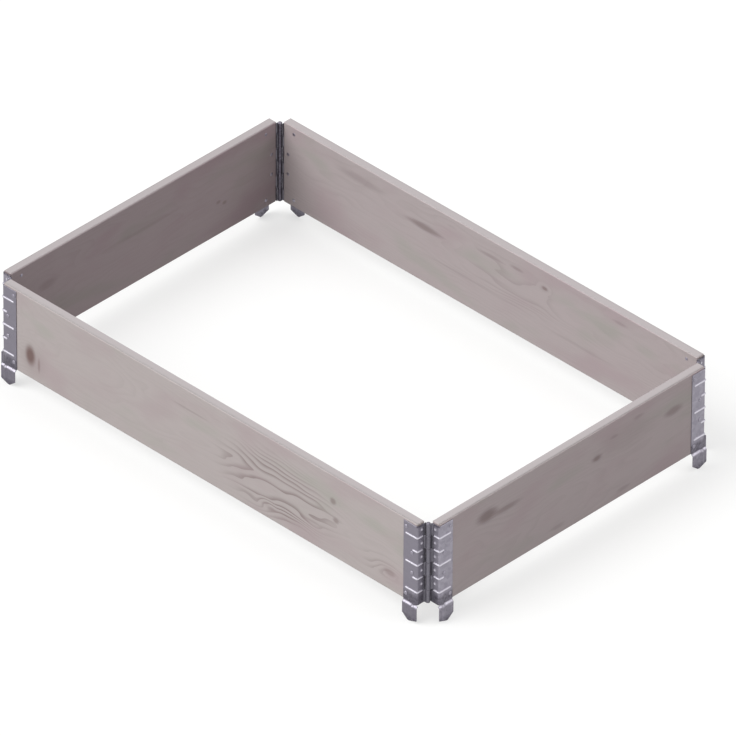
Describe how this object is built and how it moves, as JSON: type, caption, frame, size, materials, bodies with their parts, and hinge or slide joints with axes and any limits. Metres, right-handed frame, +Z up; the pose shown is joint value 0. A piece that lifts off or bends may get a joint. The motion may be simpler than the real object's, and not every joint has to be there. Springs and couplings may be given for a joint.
{
  "type": "folding pallet collar",
  "caption": "Low wooden frame with hinged steel corners that stands on a pallet, holds its load in and folds flat along a diagonal.",
  "frame": {"origin": "under the middle of the frame, level with the tips of the hinge legs", "axes": "+X along the long boards, +Y along the short boards, +Z up; the front board is at -Y"},
  "size_m": [1.215, 0.815, 0.235],
  "materials": {
    "pine": "planed softwood, weathered to a pale grey-brown",
    "galvanised_steel": "pressed galvanised sheet, dulled to a soft grey"
  },
  "bodies": {
    "front_side": {"front_board": "pine", "front_left_leaf": "galvanised_steel", "front_left_rivets": "galvanised_steel", "front_left_pin": "galvanised_steel", "front_right_leaf": "galvanised_steel", "front_right_rivets": "galvanised_steel", "front_right_pin": "galvanised_steel"},
    "right_side": {"right_board": "pine", "right_front_leaf": "galvanised_steel", "right_front_rivets": "galvanised_steel", "right_back_leaf": "galvanised_steel", "right_back_rivets": "galvanised_steel"},
    "back_side": {"back_board": "pine", "back_right_leaf": "galvanised_steel", "back_right_rivets": "galvanised_steel", "back_right_pin": "galvanised_steel", "back_left_leaf": "galvanised_steel", "back_left_rivets": "galvanised_steel", "back_left_pin": "galvanised_steel"},
    "left_side": {"left_board": "pine", "left_back_leaf": "galvanised_steel", "left_back_rivets": "galvanised_steel", "left_front_leaf": "galvanised_steel", "left_front_rivets": "galvanised_steel"}
  },
  "joints": [
    {"name": "left_fold", "type": "hinge", "parent": "front_side", "child": "left_side", "pos_m": [-0.577, -0.377, 0.1375], "axis": [0, 0, 1], "range_deg": [-89, 89]},
    {"name": "right_fold", "type": "hinge", "parent": "front_side", "child": "right_side", "pos_m": [0.577, -0.377, 0.1375], "axis": [0, 0, 1], "range_deg": [-89, 89]},
    {"name": "back_fold", "type": "hinge", "parent": "left_side", "child": "back_side", "pos_m": [-0.577, 0.377, 0.1375], "axis": [0, 0, 1], "range_deg": [-89, 89]}
  ],
  "couplings": [
    {"joint": "right_fold", "follows": "left_fold", "ratio": 1},
    {"joint": "back_fold", "follows": "left_fold", "ratio": -1}
  ]
}
